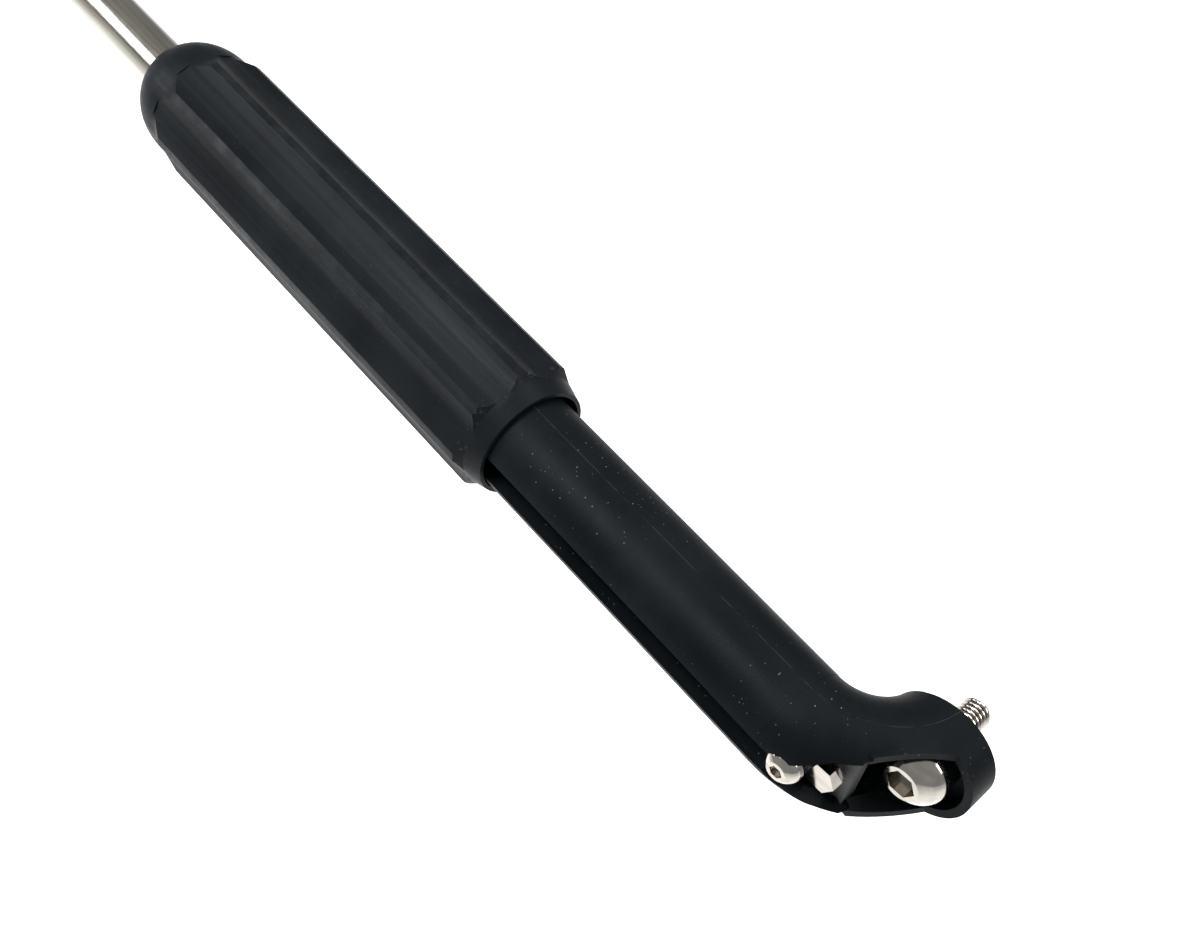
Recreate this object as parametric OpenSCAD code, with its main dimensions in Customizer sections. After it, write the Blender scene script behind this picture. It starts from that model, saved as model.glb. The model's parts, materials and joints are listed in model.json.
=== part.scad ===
// Telescoping handle arm for a beach sand scoop.
// +X runs along the handle towards the lug, +Y is the side the pivot screw
// comes out of, +Z is up. The origin is the centre of the lug's mating face.
// All lengths are in millimetres.

/* [Rod] */
// outer diameter of the stainless tube
rod_d = 12; // [10:0.1:16]
// wall of the stainless tube
rod_wall = 1.2; // [0.8:0.1:2]
// length of the stainless tube
rod_len = 268; // [180:1:400]

/* [Sleeve] */
// diameter over the lands of the fluted sleeve
sleeve_d = 31.2; // [28:0.1:38]
// bore of the sleeve
sleeve_bore_d = 24.2; // [23:0.1:27]
// number of flutes round the sleeve
flute_n = 8; // [6:1:10]
// radius of the hollow of one flute
flute_r = 15; // [10:0.5:30]
// radius from the sleeve axis to the bottom of a flute
flute_floor = 13.9; // [13:0.1:15]
// front face of the sleeve along X
sleeve_front = -98; // [-110:0.5:-90]
// where the rear dome starts along X
dome_start = -223.5; // [-230:0.5:-222.5]
// length of the rear dome
dome_len = 16; // [10:0.5:26]

/* [Arm] */
// outer radius of the arm
arm_r = 11.3; // [10.5:0.1:12.5]
// how far the arm's outside is set towards its slot
arm_shift = 0.6; // [0:0.1:1]
// radius of the channel inside the arm
channel_r = 8.8; // [8:0.1:9.5]
// width of the slot along the arm
slot_w = 5.8; // [4:0.1:8]
// distance from the handle axis to the lug's mating face
lug_offset = 18.5; // [16:0.1:24]
// tilt of the pivot screw from square to the handle
lug_tilt = 5; // [0:0.5:10]
// outer radius of the lug's round end
lug_r = 11.3; // [10:0.1:13]
// radius of the hollow in the lug
lug_hollow_r = 9.5; // [9:0.1:10.5]

/* [Pivot screw] */
// diameter of the domed head
head_d = 14; // [11:0.1:16]
// height of the domed head
head_h = 4.4; // [3:0.1:5]
// width across the flats of the head's socket
head_af = 5.4; // [4:0.1:6]
// diameter of the plain shoulder
shoulder_d = 8; // [7:0.1:9]
// diameter of the threaded end
thread_d = 6; // [5:0.1:8]
// how far the threaded end stands out of the lug
thread_out = 12; // [6:0.5:20]

/* [Hidden] */
fine = 96;
hole_fn = 48;
eps = 0.5;                 // how far a cutter runs past a face
run_gap = 0.05;            // running clearance on a radius
wide = 60;                 // half size of a cutter

rod_r = rod_d / 2;
sleeve_r = sleeve_d / 2;
bore_r = sleeve_bore_d / 2;

// pieces inside the sleeve, along X
shoulder_x = -104;         // step where the arm's journal starts
journal_r = 11.3;
bearing_x = [-113.8, -104.3];
clip_x = [-115.4, -114.2];
clip_groove_r = 10.2;
clip_r = 11.75;
clip_gap = 9;
tail_x = -142;             // rear end of the arm
collet_base_x = [tail_x, -128];
collet_flange_x = -145.5;
collet_flange_r = 10.6;
collet_neck_r = 7.5;
collet_neck_x = -168;
collet_head_x = -171;
collet_head_r = 8.9;
collet_tip_x = -184;
slit_w = 1.2;
slit_n = 6;
slit_end_x = -150;
rivet_r = 1.25;
rivet_x = -135;
rivet_from_r = 6.6;
rivet_len = 4.5;
nut_x = [-185.6, -171.5];
nut_gap = 0.04;
nut_r = 10.9;
key_w = 1.0;
key_x = [-179, -174];
key_r = [6.5, 10.4];
liner_x = [-196, -156];
keeper_x = [-199.6, -198.4];
keeper_r = 12.6;
keeper_bore_r = 10.4;
bush_x = [-214, -199.6];
wiper_x = [-223, -219];
wiper_r = 9.0;
rear_hole_r = rod_r + 0.5;
face_r = 12.95;            // outline at the front: face, tapered collar, ridge ends
collar_end_r = 14.05;
collar_end_x = sleeve_front - 4.2;
ridge_front_x = sleeve_front - 5.7;
ridge_back_x = -217.5;     // and at the rear: ridge ends, then a smooth dome
flute_back_x = -222.4;
dome_r = 14.2;
dome_top_x = -221.4;
dome_hole_r = rear_hole_r + 0.4;
dome_turn = acos(dome_hole_r / dome_r);
dome_steps = 12;
sleeve_end = dome_start - dome_len * sin(dome_turn);

// rod and its fittings, along X
rod_front = -120;
rod_back = rod_front - rod_len;
rod_bore_r = rod_r - rod_wall;
collar_x = [-127.6, -116];
collar_r = channel_r - 0.08;
collar_key_w = slot_w - 0.3;
collar_key_r = 10.9;
pin_r = 1.5;
pin_x = -123.5;
plug_len = 14;
cap_len = 3.2;
cap_plug = 16;

// elbow from the arm up to the lug
elbow_r = 19.5;
elbow_x = -19.6;                      // where the elbow starts
elbow_turn = 85;
elbow_inner_turn = 60;                // the channel follows the elbow this far
lap = 0.2;                            // how far one length of the bar runs into the next
lap_turn = 1;                         // the same on an arc, in degrees
lap_step = 0.04;                      // each length is this much slimmer than the last
flare = [[-14.5, slot_w / 2], [-12.5, 3.6], [-10.6, 5], [-8.9, 6.3], [-7, 7.7], [-3, 8.6]];
lug_low_w = -19;
floor_w = -3.2;                       // floor of the lug's hollow
end_lip_w = -7.0;                     // lip round the lug's end
pillar_r = 6.4;
lip_back = [-11.8, -30.4];            // outline of the lips, along the lug and down from its face
lip_step = [-5.2, -21.4];
lip_step_h = 1.4;
lip_front_u = 4.9;
head_top_w = -12.7;                   // flat top of the screw's head
head_base_w = head_top_w + head_h;
head_flat_r = 3.8;
washer_t = 1.0;
pillar_w = head_base_w + washer_t + run_gap;
bush_r = 5.0;
washer_r = 6.6;
washer_gap = 0.3;
socket_deep = 2.9;
thread_tip = 0.8;

// stop block and its two screws, measured in the lug's frame
block_x = -34;
pad_x = -36.5;
block_w = -15.5;
hex_u = -10.6;
hex_w = -23.2;
hex_af = 6;
hex_head_h = 2.6;
hex_r = 1.75;
hex_boss_r = 3.2;
hex_washer_r = 3.4;
stop_u = -16.4;
stop_w = -28.3;
stop_head_r = 3.8;
stop_head_h = 2.4;
stop_flat_r = 2.2;
stop_af = 2.5;
stop_deep = 1.5;
stop_r = 1.5;
stop_boss_r = 2.9;
stop_boss_w = -7.2;
stop_washer_r = 3.8;
thin_t = 0.8;
hex_end_w = -8;
stop_end_w = -10;
block_end_u = -6.0;
ledge_u = [-12.8, -14.2];
block_gap = 0.05;
hollow_gap = 0.1;
hole_gap = 0.2;
pad_r = 6.5;
deep_w = -45;                         // a depth well below the lug
hex_seat = hex_w + hex_head_h + thin_t;
stop_seat = stop_w + stop_head_h + thin_t;

// ---- placing helpers ----
module on_axis() {
  translate([0, -lug_offset, 0]) children();
}

module rod_x(x0, x1, r, fn = fine) {
  translate([x0, 0, 0]) rotate([0, 90, 0]) cylinder(h = x1 - x0, r = r, $fn = fn);
}

module ring_x(x0, x1, r_out, r_in) {
  difference() {
    rod_x(x0, x1, r_out);
    rod_x(x0 - eps, x1 + eps, r_in);
  }
}

module spin_x(points) {
  rotate([0, 90, 0]) rotate_extrude($fn = fine) polygon(points);
}

// local z is along the pivot screw, 0 at the mating face
module at_lug(u = 0) {
  rotate([0, 0, lug_tilt]) rotate([-90, 0, 0]) translate([u, 0, 0]) children();
}

module stack(w0, w1, r, fn = fine) {
  translate([0, 0, w0]) cylinder(h = w1 - w0, r = r, $fn = fn);
}

module hex_bar(w0, w1, af) {
  translate([0, 0, w0]) linear_extrude(w1 - w0) circle(d = af / cos(30), $fn = 6);
}

// a side-on outline in the lug's frame, run across the width
module side_prism(points) {
  rotate([0, 0, lug_tilt]) translate([0, 0, -wide])
    linear_extrude(2 * wide) polygon(points);
}

// round bar bent up from the handle axis towards the lug; y0 shifts the bar across
module elbow(r, y0, turn) {
  translate([elbow_x, y0 + elbow_r, 0]) rotate([0, 0, -90 - lap_turn])
    rotate_extrude(angle = turn + lap_turn, $fn = fine)
      translate([elbow_r, 0]) circle(r = r, $fn = fine);
}

module arm_outside() {
  difference() {
    union() {
      on_axis() {
        translate([0, -arm_shift, 0]) rod_x(shoulder_x, elbow_x, arm_r);
        elbow(arm_r - lap_step, -arm_shift, elbow_turn);
        rod_x(tail_x, shoulder_x + lap, journal_r - 2 * arm_shift);
        rod_x(tail_x, shoulder_x, journal_r);
      }
      at_lug() stack(lug_low_w, 0, lug_r);
    }
    at_lug() translate([-wide, -wide, 0]) cube(2 * wide);
  }
}

// the lips of the open side, cut back towards the lug's end
module lip_cut() {
  side_prism([lip_back, lip_step, lip_step + [0, lip_step_h], [lip_front_u, end_lip_w],
              [wide, end_lip_w], [wide, -wide], [lip_back[0], -wide]]);
}

module inside_space(r_channel, r_hollow) {
  on_axis() {
    rod_x(tail_x - eps, elbow_x, r_channel);
    elbow(r_channel - lap_step, 0, elbow_inner_turn);
  }
  at_lug() stack(deep_w, floor_w, r_hollow);
}

module slots() {
  on_axis() {
    translate([tail_x - eps, -wide, -slot_w / 2])
      cube([flare[0][0] - tail_x + 2 * eps, wide, slot_w]);
    rotate([90, 0, 0]) linear_extrude(wide)
      polygon(concat(flare, [for (i = [len(flare) - 1:-1:0]) [flare[i][0], -flare[i][1]]]));
  }
}

module rivets(r) {
  for (side = [-60, 60, 180])
    on_axis() rotate([side + 90, 0, 0]) translate([rivet_x, 0, rivet_from_r])
      cylinder(h = rivet_len, r = r, $fn = hole_fn);
}

module arm_body() {
  color([0.10, 0.105, 0.11]) difference() {
    union() {
      difference() {
        arm_outside();
        lip_cut();
        inside_space(channel_r, lug_hollow_r);
        slots();
      }
      at_lug() stack(pillar_w, floor_w + eps, pillar_r);
      at_lug(hex_u) stack(block_w, floor_w + eps, hex_boss_r);
      at_lug(stop_u) stack(block_w, stop_boss_w, stop_boss_r);
    }
    at_lug() stack(deep_w, wide, bush_r);
    at_lug(hex_u) stack(deep_w, hex_end_w, hex_r);
    at_lug(stop_u) stack(deep_w, stop_end_w, stop_r);
    at_lug(stop_u) stack(deep_w, stop_seat, stop_washer_r + hole_gap);
    on_axis() ring_x(clip_x[0], clip_x[1], wide, clip_groove_r);
    rivets(rivet_r);
  }
}

module collet() {
  color([0.72, 0.60, 0.32]) difference() {
    on_axis() difference() {
      spin_x([[rod_r + run_gap, collet_tip_x], [collet_neck_r, collet_tip_x],
              [collet_head_r, collet_head_x], [collet_neck_r, collet_neck_x],
              [collet_neck_r, collet_flange_x], [collet_flange_r, collet_flange_x],
              [collet_flange_r, tail_x], [channel_r, tail_x],
              [channel_r, collet_base_x[1]], [rod_r + run_gap, collet_base_x[1]]]);
      for (i = [0:slit_n / 2 - 1])
        rotate([i * 360 / slit_n, 0, 0])
          translate([collet_tip_x - eps, -wide, -slit_w / 2])
            cube([slit_end_x - collet_tip_x, 2 * wide, slit_w]);
    }
    rivets(rivet_r);
  }
}

module collet_rivets() {
  color([0.75, 0.75, 0.76]) rivets(rivet_r);
}

module snap_ring() {
  color([0.35, 0.36, 0.38]) on_axis() difference() {
    ring_x(clip_x[0], clip_x[1], clip_r, clip_groove_r);
    translate([clip_x[0] - eps, -wide, -clip_gap / 2])
      cube([clip_x[1] - clip_x[0] + 2 * eps, wide, clip_gap]);
  }
}

// ---- sleeve ----
module sleeve_outline() {
  dome = [for (i = [0:dome_steps]) let (t = dome_turn * i / dome_steps)
    [dome_r * cos(t), dome_start - dome_len * sin(t)]];
  spin_x(concat([[0, sleeve_front], [face_r, sleeve_front],
                 [collar_end_r, collar_end_x], [sleeve_r, ridge_front_x],
                 [sleeve_r, ridge_back_x], [dome_r, dome_top_x]], dome, [[0, sleeve_end]]));
}

module sleeve_shell() {
  centre = flute_floor + flute_r;
  color([0.09, 0.095, 0.10]) on_axis() difference() {
    sleeve_outline();
    for (i = [0:flute_n - 1])
      rotate([(i + 0.5) * 360 / flute_n, 0, 0])
        translate([0, centre, 0]) rod_x(flute_back_x, sleeve_front + 1, flute_r);
    rod_x(bush_x[0], sleeve_front + 1, bore_r);
    rod_x(wiper_x[0], wiper_x[1], wiper_r);
    rod_x(sleeve_end - 1, sleeve_front, rear_hole_r);
    rod_x(keeper_x[0], keeper_x[1], keeper_r);
  }
}

module bearing_ring() {
  color([0.85, 0.84, 0.78])
    on_axis() ring_x(bearing_x[0], bearing_x[1], bore_r, journal_r + run_gap);
}

module thread_liner() {
  color([0.78, 0.64, 0.34])
    on_axis() ring_x(liner_x[0], liner_x[1], bore_r, nut_r + run_gap);
}

module bush_keeper() {
  color([0.35, 0.36, 0.38])
    on_axis() ring_x(keeper_x[0], keeper_x[1], keeper_r, keeper_bore_r);
}

module guide_bush() {
  color([0.85, 0.84, 0.78])
    on_axis() ring_x(bush_x[0], bush_x[1], bore_r, rod_r + run_gap);
}

module wiper_ring() {
  color([0.07, 0.07, 0.07])
    on_axis() ring_x(wiper_x[0], wiper_x[1], wiper_r, rod_r + run_gap);
}

// ---- cone nut ----
function cone_r(x) = collet_neck_r + nut_gap
  + (collet_head_r - collet_neck_r) * (x - collet_tip_x) / (collet_head_x - collet_tip_x);

module keys() {
  for (i = [0:2])
    rotate([i * 120, 0, 0]) translate([key_x[0], key_r[0], -key_w / 2])
      cube([key_x[1] - key_x[0], key_r[1] - key_r[0], key_w]);
}

module cone_nut() {
  color([0.74, 0.62, 0.34]) on_axis() difference() {
    spin_x([[cone_r(nut_x[0]), nut_x[0]], [nut_r, nut_x[0]], [nut_r, nut_x[1]],
            [cone_r(nut_x[1]), nut_x[1]]]);
    keys();
  }
}

module nut_keys() {
  color([0.6, 0.6, 0.62]) on_axis() keys();
}

// ---- rod ----
module pin_hole(half) {
  translate([pin_x, 0, -half]) cylinder(h = 2 * half, r = pin_r, $fn = hole_fn);
}

module rod_tube() {
  color([0.74, 0.74, 0.73]) on_axis() difference() {
    ring_x(rod_back, rod_front, rod_r, rod_bore_r);
    pin_hole(wide);
  }
}

module rod_collar() {
  color([0.12, 0.12, 0.13]) on_axis() difference() {
    union() {
      rod_x(collar_x[0], collar_x[1], collar_r);
      translate([collar_x[0], -collar_key_r, -collar_key_w / 2])
        cube([collar_x[1] - collar_x[0], collar_key_r, collar_key_w]);
    }
    rod_x(collar_x[0] - eps, rod_front, rod_r);
    rod_x(rod_front - eps, collar_x[1] + eps, rod_bore_r);
    pin_hole(wide);
  }
}

module collar_pin() {
  color([0.7, 0.7, 0.72]) on_axis() pin_hole(collar_r - 0.3);
}

module front_plug() {
  color([0.12, 0.12, 0.13]) on_axis() difference() {
    rod_x(rod_front - plug_len, collar_x[1] - 0.6, rod_bore_r);
    pin_hole(wide);
  }
}

module end_cap() {
  color([0.10, 0.10, 0.11]) on_axis() {
    rod_x(rod_back, rod_back + cap_plug, rod_bore_r);
    spin_x([[0, rod_back], [rod_r, rod_back], [rod_r, rod_back - cap_len + 1.2],
            [rod_r - 1.2, rod_back - cap_len], [0, rod_back - cap_len]]);
  }
}

// ---- pivot ----
module domed_head(w_top, h, r, flat_r, af, deep) {
  edge = 0.5;
  centre = (r * r + edge * edge - flat_r * flat_r - h * h) / (2 * (edge - h));
  ball_r = sqrt(flat_r * flat_r + (h - centre) * (h - centre));
  difference() {
    intersection() {
      stack(w_top, w_top + h, r);
      translate([0, 0, w_top + h - centre]) sphere(r = ball_r, $fn = fine);
    }
    hex_bar(w_top - 1, w_top + deep, af);
  }
}

module pivot_screw() {
  color([0.80, 0.79, 0.76]) at_lug() {
    domed_head(head_top_w, head_h, head_d / 2, head_flat_r, head_af, socket_deep);
    stack(head_base_w, 0, shoulder_d / 2);
    stack(0, thread_out - thread_tip, thread_d / 2);
    translate([0, 0, thread_out - thread_tip])
      cylinder(h = thread_tip, r1 = thread_d / 2, r2 = thread_d / 2 - thread_tip, $fn = fine);
  }
}

module head_washer() {
  color([0.78, 0.78, 0.77]) at_lug() difference() {
    stack(head_base_w + run_gap, pillar_w, washer_r);
    stack(deep_w, 0, shoulder_d / 2 + washer_gap);
  }
}

module pivot_bush() {
  color([0.80, 0.72, 0.52]) at_lug() difference() {
    stack(pillar_w, 0, bush_r);
    stack(deep_w, wide, shoulder_d / 2 + run_gap);
  }
}

// ---- stop block and screws ----
module stop_block() {
  color([0.11, 0.11, 0.12]) difference() {
    intersection() {
      inside_space(channel_r - block_gap, lug_hollow_r - hollow_gap);
      side_prism([[deep_w, stop_seat], [ledge_u[0], stop_seat], [ledge_u[1], hex_w],
                  [ledge_u[1], hex_seat], [block_end_u, hex_seat], [block_end_u, block_w],
                  [deep_w, block_w]]);
      translate([block_x, -wide, -wide]) cube(2 * wide);
    }
    at_lug(hex_u) stack(deep_w, 0, hex_r + hole_gap);
    at_lug(stop_u) stack(deep_w, 0, stop_r + hole_gap);
  }
}

module bumper_pad() {
  color([0.06, 0.06, 0.06]) intersection() {
    on_axis() rod_x(pad_x, block_x, pad_r);
    side_prism([[deep_w, stop_seat + eps], [0, stop_seat + eps], [0, block_w - eps],
                [deep_w, block_w - eps]]);
  }
}

module hex_screw() {
  color([0.80, 0.79, 0.76]) at_lug(hex_u) {
    hex_bar(hex_w, hex_w + hex_head_h, hex_af);
    stack(hex_w + hex_head_h, hex_end_w, hex_r);
  }
}

module stop_screw() {
  color([0.80, 0.79, 0.76]) at_lug(stop_u) {
    domed_head(stop_w, stop_head_h, stop_head_r, stop_flat_r, stop_af, stop_deep);
    stack(stop_w + stop_head_h, stop_end_w, stop_r);
  }
}

module screw_washers() {
  color([0.75, 0.75, 0.74]) {
    at_lug(hex_u) difference() {
      stack(hex_seat - thin_t, hex_seat, hex_washer_r);
      stack(deep_w, 0, hex_r);
    }
    at_lug(stop_u) difference() {
      stack(stop_seat - thin_t, stop_seat, stop_washer_r);
      stack(deep_w, 0, stop_r);
    }
  }
}

arm_body();
collet();
collet_rivets();
snap_ring();
sleeve_shell();
bearing_ring();
thread_liner();
bush_keeper();
guide_bush();
wiper_ring();
cone_nut();
nut_keys();
rod_tube();
rod_collar();
collar_pin();
front_plug();
end_cap();
pivot_screw();
head_washer();
pivot_bush();
stop_block();
bumper_pad();
hex_screw();
stop_screw();
screw_washers();
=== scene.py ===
import json
from math import cos, pi, radians, sin

import bmesh
import bpy
from mathutils import Matrix, Vector


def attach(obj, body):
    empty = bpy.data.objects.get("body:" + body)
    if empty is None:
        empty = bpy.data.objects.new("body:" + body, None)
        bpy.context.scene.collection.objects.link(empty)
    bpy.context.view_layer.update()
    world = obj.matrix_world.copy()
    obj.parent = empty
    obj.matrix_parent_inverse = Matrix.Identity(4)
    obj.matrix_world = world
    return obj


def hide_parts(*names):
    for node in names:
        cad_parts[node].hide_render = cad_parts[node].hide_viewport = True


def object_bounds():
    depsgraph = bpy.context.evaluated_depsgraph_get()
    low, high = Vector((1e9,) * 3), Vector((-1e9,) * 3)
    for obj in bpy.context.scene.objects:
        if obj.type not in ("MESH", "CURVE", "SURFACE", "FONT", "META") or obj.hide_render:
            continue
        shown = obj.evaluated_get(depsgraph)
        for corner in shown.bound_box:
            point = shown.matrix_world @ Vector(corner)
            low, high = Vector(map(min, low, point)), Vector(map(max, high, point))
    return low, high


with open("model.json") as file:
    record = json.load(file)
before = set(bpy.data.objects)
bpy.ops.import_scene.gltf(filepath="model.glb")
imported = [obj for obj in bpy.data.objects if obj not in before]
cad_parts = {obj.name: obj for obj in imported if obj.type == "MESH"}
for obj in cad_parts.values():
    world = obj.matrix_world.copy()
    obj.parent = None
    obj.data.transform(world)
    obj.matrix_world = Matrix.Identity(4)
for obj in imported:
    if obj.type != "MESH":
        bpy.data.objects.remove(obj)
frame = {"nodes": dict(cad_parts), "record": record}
cadLow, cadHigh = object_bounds()
nodes = frame["nodes"]
scene = bpy.context.scene
mm = 0.001
print("frame loaded:", len(nodes), "pieces")

handle = {
    "axisY": -18.5 * mm,  # handle axis, below the lug's mating face
    "lugTilt": radians(5),
    "elbowRadius": 19.5 * mm,
    "elbowX": -19.6 * mm,
    "armAxisY": -19.1 * mm,
}
screwAxis = Vector((-sin(handle["lugTilt"]), cos(handle["lugTilt"]), 0))


# small helpers for nodes
def addNode(tree, kind, **settings):
    node = tree.nodes.new(kind)
    for name, value in settings.items():
        setattr(node, name, value)
    return node


def plug(tree, value, socket):
    if isinstance(value, bpy.types.NodeSocket):
        tree.links.new(value, socket)
    elif value is not None:
        socket.default_value = value


def calc(tree, operation, first, second=None, third=None):
    node = addNode(tree, "ShaderNodeMath", operation=operation)
    for value, socket in zip((first, second, third), node.inputs):
        plug(tree, value, socket)
    return node.outputs[0]


def between(tree, value, low, high, outLow=0.0, outHigh=1.0):
    node = addNode(tree, "ShaderNodeMapRange", interpolation_type="SMOOTHSTEP")
    for given, name in ((value, "Value"), (low, "From Min"), (high, "From Max"),
                        (outLow, "To Min"), (outHigh, "To Max")):
        plug(tree, given, node.inputs[name])
    return node.outputs["Result"]


def blendColour(tree, amount, first, second):
    node = addNode(tree, "ShaderNodeMix", data_type="RGBA")
    plug(tree, amount, node.inputs[0])
    plug(tree, first, node.inputs[6])
    plug(tree, second, node.inputs[7])
    return node.outputs[2]


def noise(tree, where, scale, detail=2.0, roughness=0.5):
    node = addNode(tree, "ShaderNodeTexNoise")
    plug(tree, where, node.inputs["Vector"])
    plug(tree, scale, node.inputs["Scale"])
    plug(tree, detail, node.inputs["Detail"])
    plug(tree, roughness, node.inputs["Roughness"])
    return node.outputs["Fac"]


def stretched(tree, where, scale, turned=(0, 0, 0)):
    node = addNode(tree, "ShaderNodeMapping")
    plug(tree, where, node.inputs["Vector"])
    plug(tree, turned, node.inputs["Rotation"])
    plug(tree, scale, node.inputs["Scale"])
    return node.outputs["Vector"]


def newGroup(name, inputs, outputs):
    tree = bpy.data.node_groups.new(name, "ShaderNodeTree")
    for label, kind in inputs:
        tree.interface.new_socket(name=label, in_out="INPUT", socket_type="NodeSocket" + kind)
    for label, kind in outputs:
        tree.interface.new_socket(name=label, in_out="OUTPUT", socket_type="NodeSocket" + kind)
    return tree, addNode(tree, "NodeGroupInput"), addNode(tree, "NodeGroupOutput")


def useGroup(tree, group, **values):
    node = addNode(tree, "ShaderNodeGroup", node_tree=group)
    for name, value in values.items():
        plug(tree, value, node.inputs[name])
    return node


# effects that several finishes share
grainLook = {
    "fineScale": 2600.0,
    "coarseScale": 420.0,
    "coarseShare": 0.6,
    "speckScale": 1300.0,
    "speckEdge": (0.24, 0.08),
    "speckPicked": (0.80, 1.0),
    "cloudScale": 60.0,
    "cloud": (0.40, 0.62),
    "patchScale": 38.0,
}


def makeMouldedGrain():
    tree, given, made = newGroup(
        "mouldedGrain",
        (("Where", "Vector"), ("Grain", "Float"), ("Specks", "Float")),
        (("Height", "Float"), ("Speck", "Float"), ("Patch", "Float")))
    where = given.outputs["Where"]
    fine = noise(tree, where, grainLook["fineScale"], 3.0, 0.6)
    coarse = noise(tree, where, grainLook["coarseScale"], 4.0, 0.55)
    height = calc(tree, "MULTIPLY_ADD", coarse, grainLook["coarseShare"], fine)
    plug(tree, calc(tree, "MULTIPLY", height, given.outputs["Grain"]), made.inputs["Height"])
    cells = addNode(tree, "ShaderNodeTexVoronoi")
    plug(tree, where, cells.inputs["Vector"])
    plug(tree, grainLook["speckScale"], cells.inputs["Scale"])
    dot = between(tree, cells.outputs["Distance"], *grainLook["speckEdge"])
    picked = addNode(tree, "ShaderNodeSeparateColor")
    plug(tree, cells.outputs["Color"], picked.inputs[0])
    sparse = between(tree, picked.outputs[0], *grainLook["speckPicked"])
    cloud = between(tree, noise(tree, where, grainLook["cloudScale"], 3.0), *grainLook["cloud"])
    speck = calc(tree, "MULTIPLY", calc(tree, "MULTIPLY", dot, sparse), cloud)
    plug(tree, calc(tree, "MULTIPLY", speck, given.outputs["Specks"]), made.inputs["Speck"])
    plug(tree, noise(tree, where, grainLook["patchScale"], 5.0, 0.6), made.inputs["Patch"])
    return tree


brushLook = {
    "fineStretch": (0.012, 1.0, 1.0),
    "streakStretch": (0.03, 1.0, 1.0),
    "streakScale": 700.0,
}


def makeLengthwiseBrushing():
    tree, given, made = newGroup(
        "lengthwiseBrushing",
        (("Where", "Vector"), ("Fineness", "Float")),
        (("Height", "Float"), ("Streak", "Float")))
    lines = stretched(tree, given.outputs["Where"], brushLook["fineStretch"])
    plug(tree, noise(tree, lines, given.outputs["Fineness"], 5.0, 0.7), made.inputs["Height"])
    wider = stretched(tree, given.outputs["Where"], brushLook["streakStretch"])
    plug(tree, noise(tree, wider, brushLook["streakScale"], 3.0, 0.6), made.inputs["Streak"])
    return tree


marksLook = {
    "smudgeScale": 130.0,
    "smudge": (0.42, 0.72),
    "hairScale": 1500.0,
    "hairStretch": (0.05, 1.0, 1.0),
    "hairTurned": (0.4, 0.7, 0.9),
    "hair": (0.70, 0.78),
}


def makeHandling():
    tree, given, made = newGroup(
        "handlingMarks",
        (("Where", "Vector"), ("Amount", "Float")),
        (("Smudge", "Float"), ("Scratch", "Float")))
    where = given.outputs["Where"]
    amount = given.outputs["Amount"]
    cloudy = noise(tree, where, marksLook["smudgeScale"], 6.0, 0.62)
    smudge = between(tree, cloudy, *marksLook["smudge"])
    plug(tree, calc(tree, "MULTIPLY", smudge, amount), made.inputs["Smudge"])
    lines = stretched(tree, where, marksLook["hairStretch"], marksLook["hairTurned"])
    hair = between(tree, noise(tree, lines, marksLook["hairScale"], 2.0), *marksLook["hair"])
    plug(tree, calc(tree, "MULTIPLY", hair, amount), made.inputs["Scratch"])
    return tree


mouldedGrain = makeMouldedGrain()
lengthwiseBrushing = makeLengthwiseBrushing()
handlingMarks = makeHandling()
print("shared effects ready")


def startMaterial(name):
    material = bpy.data.materials.new(name)
    material.use_nodes = True
    tree = material.node_tree
    shader = tree.nodes["Principled BSDF"]
    where = addNode(tree, "ShaderNodeTexCoord").outputs["Object"]
    return material, tree, shader, where


def addBump(tree, shader, height, strength, distance):
    bump = addNode(tree, "ShaderNodeBump")
    bump.inputs["Strength"].default_value = strength
    bump.inputs["Distance"].default_value = distance
    plug(tree, height, bump.inputs["Height"])
    plug(tree, bump.outputs["Normal"], shader.inputs["Normal"])


def places(tree, where):
    apart = addNode(tree, "ShaderNodeSeparateXYZ")
    plug(tree, where, apart.inputs[0])
    return apart.outputs


def handleRadius(tree, where):
    _, y, z = places(tree, where)
    fromAxis = calc(tree, "SUBTRACT", y, handle["axisY"])
    square = calc(tree, "MULTIPLY_ADD", fromAxis, fromAxis, calc(tree, "MULTIPLY", z, z))
    return calc(tree, "SQRT", square)


# the arm's charcoal moulding, with its parting line and pale dust
armLook = {
    "dark": (0.0030, 0.0044, 0.0054, 1),
    "light": (0.0054, 0.0074, 0.0086, 1),
    "speck": (0.12, 0.125, 0.13, 1),
    "seam": (0.030, 0.034, 0.038, 1),
    "seamHalf": 0.10 * mm,
    "seamShown": 0.7,
    "roughness": (0.42, 0.54),
    "smudgeGloss": 0.10,
    "specular": 0.042,
    "seamHeight": 1.2,
    "bump": 0.55,
}
patchSpan = (0.35, 0.68)  # the part of the patch noise that changes the tint
evenSpan = (0.3, 0.7)


def seamMask(tree, where):
    # straight along the arm, then round the elbow's middle
    x, y, _ = places(tree, where)
    centreY = handle["armAxisY"] + handle["elbowRadius"]
    past = calc(tree, "MAXIMUM", calc(tree, "SUBTRACT", x, handle["elbowX"]), 0.0)
    down = calc(tree, "SUBTRACT", y, centreY)
    square = calc(tree, "MULTIPLY_ADD", past, past, calc(tree, "MULTIPLY", down, down))
    away = calc(tree, "ABSOLUTE",
                calc(tree, "SUBTRACT", calc(tree, "SQRT", square), handle["elbowRadius"]))
    return between(tree, away, armLook["seamHalf"], armLook["seamHalf"] * 0.3)


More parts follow.
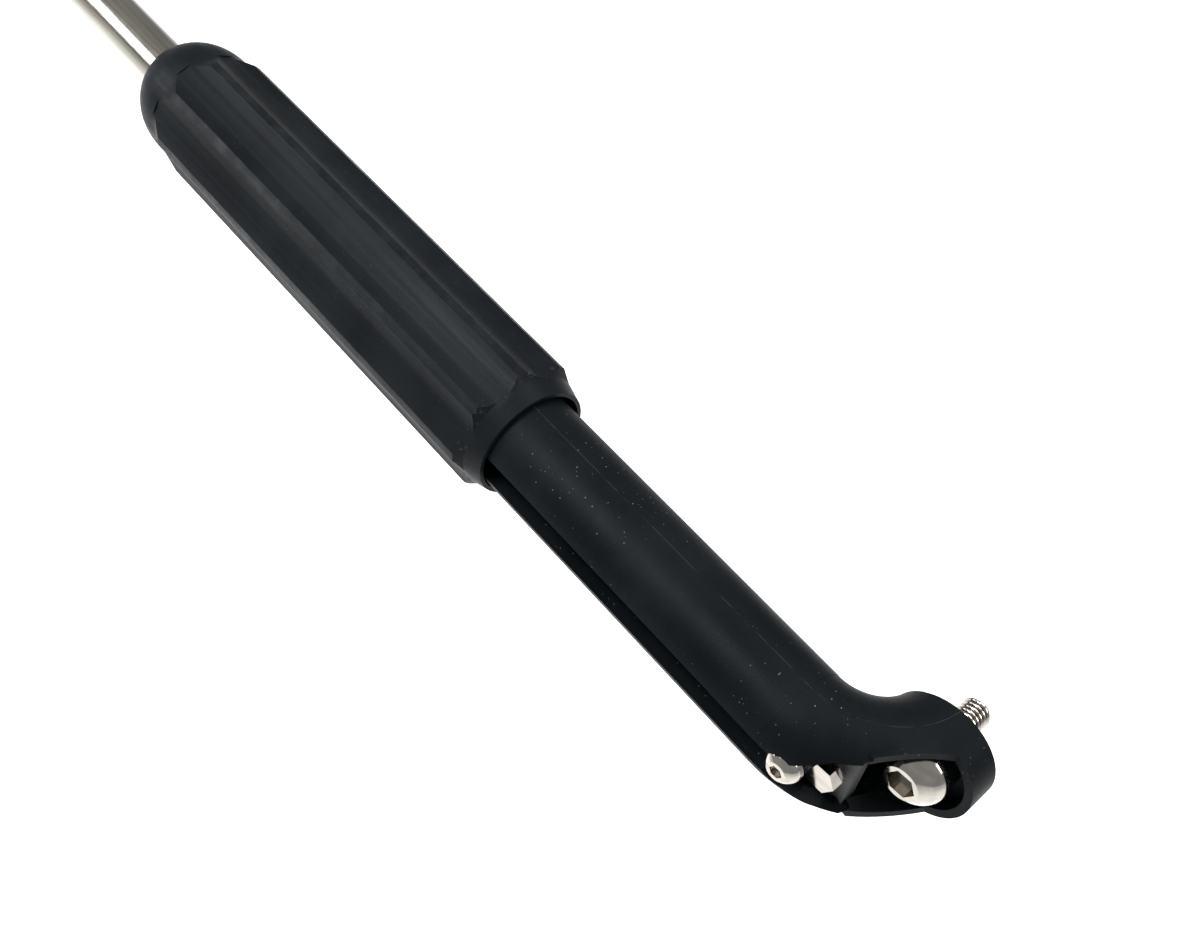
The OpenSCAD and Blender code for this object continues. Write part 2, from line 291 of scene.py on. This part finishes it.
def makeArmPlastic():
    material, tree, shader, where = startMaterial("charcoalMoulding")
    grain = useGroup(tree, mouldedGrain, Where=where, Grain=1.0, Specks=1.0)
    marks = useGroup(tree, handlingMarks, Where=where, Amount=0.5)
    seam = seamMask(tree, where)
    broken = calc(tree, "MULTIPLY", seam, between(tree, noise(tree, where, 300.0, 3.0), 0.35, 0.6))
    patch = between(tree, grain.outputs["Patch"], *patchSpan)
    colour = blendColour(tree, patch, armLook["dark"], armLook["light"])
    shown = calc(tree, "MULTIPLY", broken, armLook["seamShown"])
    colour = blendColour(tree, shown, colour, armLook["seam"])
    colour = blendColour(tree, grain.outputs["Speck"], colour, armLook["speck"])
    plug(tree, colour, shader.inputs["Base Color"])
    rough = between(tree, grain.outputs["Patch"], *evenSpan, *armLook["roughness"])
    glossier = calc(tree, "MULTIPLY", marks.outputs["Smudge"], armLook["smudgeGloss"])
    plug(tree, calc(tree, "SUBTRACT", rough, glossier), shader.inputs["Roughness"])
    shader.inputs["Specular IOR Level"].default_value = armLook["specular"]
    height = calc(tree, "MULTIPLY_ADD", seam, armLook["seamHeight"], grain.outputs["Height"])
    addBump(tree, shader, height, armLook["bump"], 0.06 * mm)
    return material


# the sleeve's black moulding, rubbed on the lands and nicked at the front edge; the lands and the
# front edge are also lightened as painted edge highlights
sleeveLook = {
    "dark": (0.0038, 0.0050, 0.0063, 1),
    "light": (0.0068, 0.0088, 0.0106, 1),
    # lighter land colour: partly rubbed plastic, partly a painted edge highlight along the lands
    "landWearAndHighlight": (0.016, 0.021, 0.024, 1),
    # lighter front-edge colour: partly chipped plastic, partly a painted rim highlight
    "frontNickAndRimLight": (0.040, 0.045, 0.050, 1),
    "landRadius": (15.40 * mm, 15.60 * mm),
    "frontEdge": (-105.5 * mm, -103.6 * mm),
    "frontFade": (-101.6 * mm, -102.4 * mm),
    "landWearAndHighlightShown": 0.35,
    "frontNickAndRimLightShown": 0.55,
    "nickDepth": -2.5,
    "roughness": (0.37, 0.49),
    "rubbedGloss": -0.08,
    "specular": 0.055,
    "bump": 0.5,
}


def makeSleevePlastic():
    material, tree, shader, where = startMaterial("flutedBlack")
    x = places(tree, where)[0]
    radius = handleRadius(tree, where)
    grain = useGroup(tree, mouldedGrain, Where=where, Grain=1.0, Specks=0.25)
    brushing = useGroup(tree, lengthwiseBrushing, Where=where, Fineness=900.0)
    # lightened lands: real rubbing plus a painted edge highlight, broken up by noise
    land = between(tree, radius, *sleeveLook["landRadius"])
    landBreakup = between(tree, noise(tree, where, 170.0, 5.0, 0.65), 0.40, 0.68)
    landWearAndHighlight = calc(tree, "MULTIPLY", land, landBreakup)
    # front edge band: real nicks, also bumped in, plus a painted rim highlight, broken into spots
    # by noise
    front = calc(tree, "MULTIPLY", between(tree, x, *sleeveLook["frontEdge"]),
                 between(tree, x, *sleeveLook["frontFade"]))
    frontSpots = between(tree, noise(tree, where, 520.0, 4.0, 0.7), 0.56, 0.66)
    frontNickAndRimLight = calc(tree, "MULTIPLY", front, frontSpots)
    colour = blendColour(tree, between(tree, grain.outputs["Patch"], *patchSpan),
                         sleeveLook["dark"], sleeveLook["light"])
    landWearAndHighlightShown = calc(tree, "MULTIPLY", landWearAndHighlight, sleeveLook["landWearAndHighlightShown"])
    colour = blendColour(tree, landWearAndHighlightShown, colour, sleeveLook["landWearAndHighlight"])
    frontNickAndRimLightShown = calc(tree, "MULTIPLY", frontNickAndRimLight, sleeveLook["frontNickAndRimLightShown"])
    colour = blendColour(tree, frontNickAndRimLightShown, colour, sleeveLook["frontNickAndRimLight"])
    colour = blendColour(tree, grain.outputs["Speck"], colour, armLook["speck"])
    plug(tree, colour, shader.inputs["Base Color"])
    rough = between(tree, brushing.outputs["Streak"], *evenSpan, *sleeveLook["roughness"])
    plug(tree, calc(tree, "MULTIPLY_ADD", landWearAndHighlight, sleeveLook["rubbedGloss"], rough),
         shader.inputs["Roughness"])
    shader.inputs["Specular IOR Level"].default_value = sleeveLook["specular"]
    height = calc(tree, "MULTIPLY_ADD", brushing.outputs["Height"], 0.5, grain.outputs["Height"])
    height = calc(tree, "MULTIPLY_ADD", frontNickAndRimLight, sleeveLook["nickDepth"], height)
    addBump(tree, shader, height, sleeveLook["bump"], 0.06 * mm)
    return material


# every metal is brushed along the handle, with its own smudges and scratches
metalWear = {"stainShown": 0.35, "smudgeRough": 0.12, "scratchRough": 0.15, "scratchDepth": -0.8}


def makeMetal(name, look):
    material, tree, shader, where = startMaterial(name)
    shader.inputs["Metallic"].default_value = 1.0
    brushing = useGroup(tree, lengthwiseBrushing, Where=where, Fineness=look["fineness"])
    marks = useGroup(tree, handlingMarks, Where=where, Amount=look["marks"])
    smudge, scratch = marks.outputs["Smudge"], marks.outputs["Scratch"]
    tone = between(tree, brushing.outputs["Streak"], *evenSpan)
    colour = blendColour(tree, tone, look["dark"], look["light"])
    stained = calc(tree, "MULTIPLY", smudge, metalWear["stainShown"])
    plug(tree, blendColour(tree, stained, colour, look["stain"]), shader.inputs["Base Color"])
    rough = between(tree, brushing.outputs["Height"], *evenSpan, *look["roughness"])
    rough = calc(tree, "MULTIPLY_ADD", smudge, metalWear["smudgeRough"], rough)
    rough = calc(tree, "MULTIPLY_ADD", scratch, metalWear["scratchRough"], rough)
    plug(tree, rough, shader.inputs["Roughness"])
    height = calc(tree, "MULTIPLY_ADD", scratch, metalWear["scratchDepth"],
                  brushing.outputs["Height"])
    addBump(tree, shader, height, look["bump"], 0.02 * mm)
    return material


metalLooks = {
    "groundStainless": {"dark": (0.27, 0.255, 0.22, 1), "light": (0.40, 0.38, 0.335, 1),
                        "stain": (0.24, 0.22, 0.18, 1), "roughness": (0.11, 0.19),
                        "fineness": 2600.0, "marks": 0.5, "bump": 0.35},
    "polishedStainless": {"dark": (0.40, 0.375, 0.34, 1), "light": (0.50, 0.47, 0.43, 1),
                          "stain": (0.30, 0.25, 0.19, 1), "roughness": (0.06, 0.12),
                          "fineness": 1500.0, "marks": 0.7, "bump": 0.10},
    "brightSteel": {"dark": (0.38, 0.37, 0.35, 1), "light": (0.50, 0.49, 0.47, 1),
                    "stain": (0.42, 0.40, 0.36, 1), "roughness": (0.18, 0.32),
                    "fineness": 1800.0, "marks": 0.5, "bump": 0.20},
    "darkSpringSteel": {"dark": (0.10, 0.10, 0.11, 1), "light": (0.17, 0.17, 0.18, 1),
                        "stain": (0.12, 0.08, 0.05, 1), "roughness": (0.28, 0.42),
                        "fineness": 1800.0, "marks": 0.8, "bump": 0.20},
    "turnedBrass": {"dark": (0.52, 0.36, 0.13, 1), "light": (0.68, 0.50, 0.22, 1),
                    "stain": (0.30, 0.19, 0.07, 1), "roughness": (0.20, 0.34),
                    "fineness": 1600.0, "marks": 0.6, "bump": 0.25},
    "sinteredBronze": {"dark": (0.36, 0.24, 0.12, 1), "light": (0.52, 0.37, 0.20, 1),
                       "stain": (0.18, 0.12, 0.07, 1), "roughness": (0.36, 0.52),
                       "fineness": 1400.0, "marks": 0.9, "bump": 0.30},
}


# plain plastics and rubber
def makePlainMoulding(name, look):
    material, tree, shader, where = startMaterial(name)
    grain = useGroup(tree, mouldedGrain, Where=where, Grain=1.0, Specks=look["specks"])
    marks = useGroup(tree, handlingMarks, Where=where, Amount=0.4)
    colour = blendColour(tree, between(tree, grain.outputs["Patch"], *patchSpan),
                         look["dark"], look["light"])
    colour = blendColour(tree, grain.outputs["Speck"], colour, armLook["speck"])
    plug(tree, colour, shader.inputs["Base Color"])
    rough = between(tree, grain.outputs["Patch"], *evenSpan, *look["roughness"])
    plug(tree, calc(tree, "MULTIPLY_ADD", marks.outputs["Smudge"], -0.06, rough),
         shader.inputs["Roughness"])
    addBump(tree, shader, grain.outputs["Height"], look["bump"], 0.05 * mm)
    return material


mouldingLooks = {
    "blockMoulding": {"dark": (0.006, 0.007, 0.008, 1), "light": (0.012, 0.013, 0.015, 1),
                      "roughness": (0.42, 0.58), "specks": 0.3, "bump": 0.4},
    "capMoulding": {"dark": (0.005, 0.006, 0.006, 1), "light": (0.010, 0.011, 0.012, 1),
                    "roughness": (0.36, 0.50), "specks": 0.1, "bump": 0.4},
    "softRubber": {"dark": (0.004, 0.004, 0.004, 1), "light": (0.009, 0.009, 0.009, 1),
                   "roughness": (0.62, 0.80), "specks": 0.5, "bump": 0.6},
    "paleAcetal": {"dark": (0.62, 0.60, 0.52, 1), "light": (0.74, 0.72, 0.65, 1),
                   "roughness": (0.26, 0.38), "specks": 0.0, "bump": 0.15},
    "amberPlastic": {"dark": (0.44, 0.30, 0.10, 1), "light": (0.56, 0.40, 0.15, 1),
                     "roughness": (0.28, 0.42), "specks": 0.0, "bump": 0.2},
}

finishes = {"charcoalMoulding": makeArmPlastic(), "flutedBlack": makeSleevePlastic()}
for finishName, finishLook in metalLooks.items():
    finishes[finishName] = makeMetal(finishName, finishLook)
for finishName, finishLook in mouldingLooks.items():
    finishes[finishName] = makePlainMoulding(finishName, finishLook)
print("finishes made:", len(finishes))

pieceFinish = {
    "arm_body": "charcoalMoulding",
    "sleeve_shell": "flutedBlack",
    "rod_tube": "groundStainless",
    "pivot_screw": "polishedStainless",
    "hex_screw": "polishedStainless",
    "stop_screw": "polishedStainless",
    "screw_washers": "brightSteel",
    "head_washer": "brightSteel",
    "collet_rivets": "brightSteel",
    "nut_keys": "brightSteel",
    "collar_pin": "brightSteel",
    "snap_ring": "darkSpringSteel",
    "bush_keeper": "darkSpringSteel",
    "thread_liner": "turnedBrass",
    "cone_nut": "turnedBrass",
    "pivot_bush": "sinteredBronze",
    "collet": "amberPlastic",
    "bearing_ring": "paleAcetal",
    "guide_bush": "paleAcetal",
    "wiper_ring": "softRubber",
    "bumper_pad": "softRubber",
    "stop_block": "blockMoulding",
    "rod_collar": "blockMoulding",
    "front_plug": "blockMoulding",
    "end_cap": "capMoulding",
}
for nodeName, finishName in pieceFinish.items():
    slots = nodes[nodeName].data.materials
    slots.clear()
    slots.append(finishes[finishName])
print("finishes put on", len(pieceFinish), "pieces")

bodyOf = {node: body for body, held in frame["record"]["behaviour"]["bodies"].items()
          for node in held}


# smooth versions of the pieces that are seen
smoothing = {"joinWithin": 0.002 * mm, "crease": radians(28)}


def smoothPiece(nodeName, pieceName, shape=None):
    mesh = nodes[nodeName].data.copy()
    mesh.name = pieceName
    made = bmesh.new()
    made.from_mesh(mesh)
    bmesh.ops.remove_doubles(made, verts=made.verts, dist=smoothing["joinWithin"])
    bmesh.ops.recalc_face_normals(made, faces=made.faces)
    if shape:
        shape(made)
    for face in made.faces:
        face.smooth = True
    for edge in made.edges:
        closed = len(edge.link_faces) == 2
        edge.smooth = closed and edge.calc_face_angle(pi) < smoothing["crease"]
    made.to_mesh(mesh)
    made.free()
    if "custom_normal" in mesh.attributes:
        mesh.attributes.remove(mesh.attributes["custom_normal"])
    mesh.materials.clear()
    mesh.materials.append(finishes[pieceFinish[nodeName]])
    piece = bpy.data.objects.new(pieceName, mesh)
    scene.collection.objects.link(piece)
    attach(piece, bodyOf[nodeName])
    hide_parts(nodeName)


studLook = {
    "rootRadius": 2.50 * mm,
    "crestRadius": 3.00 * mm,
    "pitch": 1.0 * mm,
    "from": 0.4 * mm,
    "turns": 10.6,
    "slack": 0.01 * mm,
}


def slimStud(made):
    # the smooth stud is as thick as the thread's root
    shrink = studLook["rootRadius"] / studLook["crestRadius"]
    for vert in made.verts:
        along = vert.co.dot(screwAxis)
        outward = vert.co - screwAxis * along
        if along > -studLook["slack"] and outward.length < studLook["crestRadius"] * 1.01:
            vert.co = screwAxis * along + outward * shrink


smoothPiece("arm_body", "armMoulding")
smoothPiece("sleeve_shell", "flutedSleeve")
smoothPiece("rod_tube", "slidingRod")
smoothPiece("pivot_screw", "pivotScrew", slimStud)
smoothPiece("stop_screw", "stopScrew")
smoothPiece("hex_screw", "hexScrew")
smoothPiece("screw_washers", "thinWashers")
print("smooth pieces made")


# the stud's thread is a ridge wound round the stud
def makeThreadTree():
    tree = bpy.data.node_groups.new("woundThread", "GeometryNodeTree")
    for label, kind in (("Geometry", "Geometry"), ("Root Radius", "Float"),
                        ("Ridge", "Float"), ("Pitch", "Float"), ("Turns", "Float"),
                        ("Start", "Float"), ("Tilt", "Float"), ("Finish", "Material")):
        tree.interface.new_socket(name=label, in_out="INPUT", socket_type="NodeSocket" + kind)
    tree.interface.new_socket(name="Geometry", in_out="OUTPUT", socket_type="NodeSocketGeometry")
    given = addNode(tree, "NodeGroupInput")
    made = addNode(tree, "NodeGroupOutput")
    height = calc(tree, "MULTIPLY", given.outputs["Pitch"], given.outputs["Turns"])
    spiral = addNode(tree, "GeometryNodeCurveSpiral")
    spiral.inputs["Resolution"].default_value = 48
    plug(tree, given.outputs["Turns"], spiral.inputs["Rotations"])
    plug(tree, given.outputs["Root Radius"], spiral.inputs["Start Radius"])
    plug(tree, given.outputs["Root Radius"], spiral.inputs["End Radius"])
    plug(tree, height, spiral.inputs["Height"])
    upright = addNode(tree, "GeometryNodeSetCurveNormal", mode="Z_UP")
    plug(tree, spiral.outputs[0], upright.inputs["Curve"])
    ridge = addNode(tree, "GeometryNodeCurvePrimitiveCircle")
    ridge.inputs["Resolution"].default_value = 4
    plug(tree, given.outputs["Ridge"], ridge.inputs["Radius"])
    swept = addNode(tree, "GeometryNodeCurveToMesh")
    plug(tree, upright.outputs[0], swept.inputs["Curve"])
    plug(tree, ridge.outputs[0], swept.inputs["Profile Curve"])
    swept.inputs["Fill Caps"].default_value = True
    offset = addNode(tree, "ShaderNodeCombineXYZ")
    plug(tree, given.outputs["Start"], offset.inputs["Z"])
    raised = addNode(tree, "GeometryNodeTransform")
    plug(tree, swept.outputs[0], raised.inputs["Geometry"])
    plug(tree, offset.outputs[0], raised.inputs["Translation"])
    turn = addNode(tree, "ShaderNodeCombineXYZ")
    turn.inputs["X"].default_value = -pi / 2
    plug(tree, given.outputs["Tilt"], turn.inputs["Z"])
    placed = addNode(tree, "GeometryNodeTransform")
    plug(tree, raised.outputs[0], placed.inputs["Geometry"])
    plug(tree, turn.outputs[0], placed.inputs["Rotation"])
    real = addNode(tree, "GeometryNodeRealizeInstances")
    plug(tree, placed.outputs[0], real.inputs[0])
    finish = addNode(tree, "GeometryNodeSetMaterial")
    plug(tree, real.outputs[0], finish.inputs["Geometry"])
    plug(tree, given.outputs["Finish"], finish.inputs["Material"])
    plug(tree, finish.outputs[0], made.inputs["Geometry"])
    return tree


def fromTree(tree, pieceName, values):
    seed = bpy.data.objects.new(pieceName + "Seed", bpy.data.meshes.new(pieceName + "Seed"))
    scene.collection.objects.link(seed)
    modifier = seed.modifiers.new("made", "NODES")
    modifier.node_group = tree
    for item in tree.interface.items_tree:
        if item.in_out == "INPUT" and item.name in values:
            modifier[item.identifier] = values[item.name]
    seen = bpy.context.evaluated_depsgraph_get()
    mesh = bpy.data.meshes.new_from_object(seed.evaluated_get(seen))
    mesh.name = pieceName
    seed.modifiers.remove(modifier)
    bpy.data.objects.remove(seed)
    piece = bpy.data.objects.new(pieceName, mesh)
    scene.collection.objects.link(piece)
    return piece


thread = fromTree(makeThreadTree(), "studThread", {
    "Root Radius": studLook["rootRadius"],
    "Ridge": studLook["crestRadius"] - studLook["rootRadius"],
    "Pitch": studLook["pitch"],
    "Turns": studLook["turns"],
    "Start": studLook["from"],
    "Tilt": handle["lugTilt"],
    "Finish": finishes["polishedStainless"],
})
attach(thread, bodyOf["pivot_screw"])
print("thread wound:", len(thread.data.polygons), "faces")


# floor, light and camera
stageLook = {
    "floorZ": -0.42,
    "floorSize": 9.0,
    "floorColour": (0.90, 0.90, 0.90, 1),
    "floorPatch": (0.95, 0.95, 0.95, 1),
    "floorGlow": 0.45,
    "worldStrength": 0.42,
}


def makeFloor():
    # the paper glows a little, so that it stays pale all over
    half = stageLook["floorSize"] / 2
    z = stageLook["floorZ"]
    mesh = bpy.data.meshes.new("paleFloor")
    mesh.from_pydata([(-half, -half, z), (half, -half, z), (half, half, z), (-half, half, z)],
                     [], [(0, 1, 2, 3)])
    material, tree, shader, where = startMaterial("palePaper")
    paper = blendColour(tree, noise(tree, where, 40.0, 3.0), stageLook["floorColour"],
                        stageLook["floorPatch"])
    plug(tree, paper, shader.inputs["Base Color"])
    shader.inputs["Roughness"].default_value = 0.9
    shader.inputs["Specular IOR Level"].default_value = 0.0
    shader.inputs["Emission Color"].default_value = (1, 1, 1, 1)
    shader.inputs["Emission Strength"].default_value = stageLook["floorGlow"]
    mesh.materials.append(material)
    floor = bpy.data.objects.new("paleFloor", mesh)
    scene.collection.objects.link(floor)


softBoxes = {
    "keyBox": {"at": (-0.60, -0.55, 0.95), "size": 0.55, "power": 17.0},
    "sideBox": {"at": (0.75, 0.45, 0.70), "size": 0.5, "power": 7.0},
    "topBox": {"at": (-0.10, 0.60, 1.30), "size": 0.9, "power": 11.0},
    "lowBox": {"at": (-0.84, -0.43, 0.25), "size": 0.28, "power": 2.8},
}


def makeSoftBoxes():
    middle = (cadLow + cadHigh) / 2
    for name, box in softBoxes.items():
        light = bpy.data.lights.new(name, "AREA")
        light.shape = "SQUARE"
        light.size = box["size"]
        light.energy = box["power"]
        lamp = bpy.data.objects.new(name, light)
        lamp.location = box["at"]
        lamp.rotation_euler = (middle - Vector(box["at"])).to_track_quat("-Z", "Y").to_euler()
        scene.collection.objects.link(lamp)
    world = bpy.data.worlds.new("softRoom")
    world.use_nodes = True
    sky = world.node_tree.nodes["Background"]
    sky.inputs["Color"].default_value = (1, 1, 1, 1)
    sky.inputs["Strength"].default_value = stageLook["worldStrength"]
    scene.world = world


cameraLook = {
    "place": (0.05426, -0.17012, 0.24265),
    "right": (0.63353, 0.76171, 0.13579),
    "up": (-0.64294, 0.42064, 0.64006),
    "lens": 48.0,
    "sensor": 36.0,
}


def makeCamera():
    data = bpy.data.cameras.new("studioCamera")
    data.lens = cameraLook["lens"]
    data.sensor_width = cameraLook["sensor"]
    data.clip_start = 0.01
    data.clip_end = 50.0
    camera = bpy.data.objects.new("studioCamera", data)
    right, up = Vector(cameraLook["right"]), Vector(cameraLook["up"])
    back = right.cross(up)
    turned = Matrix((right, up, back)).transposed().to_4x4()
    camera.matrix_world = Matrix.Translation(cameraLook["place"]) @ turned
    scene.collection.objects.link(camera)
    scene.camera = camera


makeFloor()
makeSoftBoxes()
makeCamera()
scene.view_settings.view_transform = "Standard"
print("stage set")
